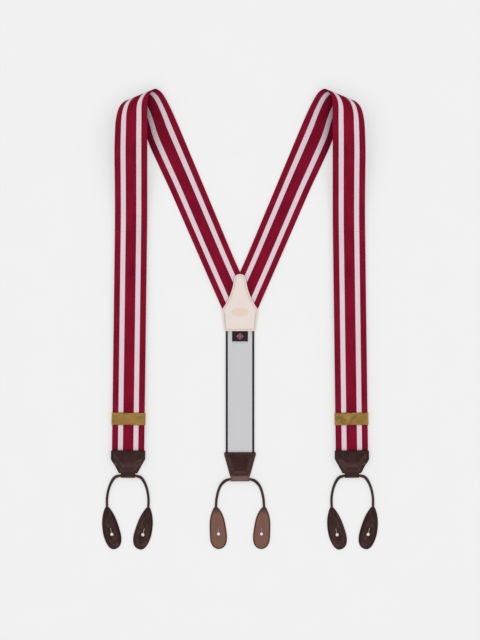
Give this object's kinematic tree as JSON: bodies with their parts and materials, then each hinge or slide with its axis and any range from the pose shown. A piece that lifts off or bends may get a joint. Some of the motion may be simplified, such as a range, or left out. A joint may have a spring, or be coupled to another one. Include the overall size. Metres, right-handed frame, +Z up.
{
  "type": "suspenders",
  "caption": "Button-on Y-back braces in striped ribbon with leather yoke and tabs, rolled cord ends, elastic back strap and sliding cam adjusters.",
  "frame": {"origin": "centre of the yoke's bottom edge, on the plane the braces lie on", "axes": "+X to the right in the flat lay, +Y up the straps towards the shoulder folds, +Z up off the plane"},
  "size_m": [0.3236, 0.5387, 0.0271],
  "materials": {
    "ribbon": "satin-weave ribbon, crimson with two white stripes",
    "elastic": "woven elastic, grey with black edges",
    "label": "damask weave",
    "cream_leather": "natural, matt",
    "brown_leather": "fine grain, satin",
    "dark_leather": "fine grain, polished",
    "flesh_leather": "flesh side, matt",
    "gilt": "satin gilt",
    "steel": "bright"
  },
  "bodies": {
    "harness": {"left_strap": "ribbon", "right_strap": "ribbon", "yoke_lining": "cream_leather", "yoke_outer": "brown_leather", "woven_label": "label", "elastic_back": "elastic"},
    "left_loop": {"left_strap_return": "ribbon"},
    "left_adjuster": {"left_adjuster_plate": "gilt", "left_end_clamp": "gilt", "left_lever_pin": "steel"},
    "left_lever": {"left_adjuster_lever": "gilt"},
    "left_tab": {"left_tab_front": "dark_leather", "left_tab_lining": "dark_leather", "left_link_ring": "steel", "left_keeper_loop": "dark_leather"},
    "left_thong": {"left_cord": "dark_leather", "left_outer_ear": "dark_leather", "left_inner_ear": "dark_leather"},
    "right_loop": {"right_strap_return": "ribbon"},
    "right_adjuster": {"right_adjuster_plate": "gilt", "right_end_clamp": "gilt", "right_lever_pin": "steel"},
    "right_lever": {"right_adjuster_lever": "gilt"},
    "right_tab": {"right_tab_front": "dark_leather", "right_tab_lining": "dark_leather", "right_link_ring": "steel", "right_keeper_loop": "dark_leather"},
    "right_thong": {"right_cord": "dark_leather", "right_outer_ear": "dark_leather", "right_inner_ear": "dark_leather"},
    "rear_tab": {"rear_tab_front": "dark_leather", "rear_tab_back": "dark_leather", "rear_keeper_loop": "dark_leather"},
    "rear_thong": {"rear_cord": "dark_leather", "rear_left_ear": "flesh_leather", "rear_right_ear": "flesh_leather"}
  },
  "joints": [
    {"name": "left_length", "type": "slide", "parent": "harness", "child": "left_loop", "axis": [0.0131, 0.9999, 0], "range_m": [-0.02, 0.105], "deforming": ["left_strap"]},
    {"name": "left_adjuster_slide", "type": "slide", "parent": "left_loop", "child": "left_adjuster", "axis": [0.0131, 0.9999, 0], "range_m": [-0.02, 0.105], "deforming": ["left_strap_return"]},
    {"name": "left_lever_open", "type": "hinge", "parent": "left_adjuster", "child": "left_lever", "pos_m": [-0.13031, -0.10009, 0.0028], "axis": [0.9999, -0.0131, 0], "range_deg": [0, 95]},
    {"name": "left_tab_swing", "type": "hinge", "parent": "left_loop", "child": "left_tab", "pos_m": [-0.13092, -0.14649, 0.0039], "axis": [-0.9999, 0.0131, 0], "range_deg": [-5, 5]},
    {"name": "left_thong_swing", "type": "hinge", "parent": "left_tab", "child": "left_thong", "pos_m": [-0.13122, -0.16929, 0.00305], "axis": [-0.9999, 0.0131, 0], "range_deg": [-90, 150]},
    {"name": "right_length", "type": "slide", "parent": "harness", "child": "right_loop", "axis": [-0.0131, 0.9999, 0], "range_m": [-0.02, 0.105], "deforming": ["right_strap"]},
    {"name": "right_adjuster_slide", "type": "slide", "parent": "right_loop", "child": "right_adjuster", "axis": [-0.0131, 0.9999, 0], "range_m": [-0.02, 0.105], "deforming": ["right_strap_return"]},
    {"name": "right_lever_open", "type": "hinge", "parent": "right_adjuster", "child": "right_lever", "pos_m": [0.13031, -0.10009, 0.0028], "axis": [0.9999, 0.0131, 0], "range_deg": [0, 95]},
    {"name": "right_tab_swing", "type": "hinge", "parent": "right_loop", "child": "right_tab", "pos_m": [0.13092, -0.14649, 0.0039], "axis": [-0.9999, -0.0131, 0], "range_deg": [-5, 5]},
    {"name": "right_thong_swing", "type": "hinge", "parent": "right_tab", "child": "right_thong", "pos_m": [0.13122, -0.16929, 0.00305], "axis": [-0.9999, -0.0131, 0], "range_deg": [-90, 150]},
    {"name": "rear_stretch", "type": "slide", "parent": "harness", "child": "rear_tab", "axis": [0, -1, 0], "range_m": [0, 0.05], "stiffness_N_per_m": 400, "deforming": ["elastic_back"]},
    {"name": "rear_thong_swing", "type": "hinge", "parent": "rear_tab", "child": "rear_thong", "pos_m": [0, -0.1734, 0.00305], "axis": [-1, 0, 0], "range_deg": [-90, 150]}
  ],
  "couplings": [
    {"joint": "left_adjuster_slide", "follows": "left_length", "ratio": 1},
    {"joint": "right_adjuster_slide", "follows": "right_length", "ratio": 1}
  ]
}
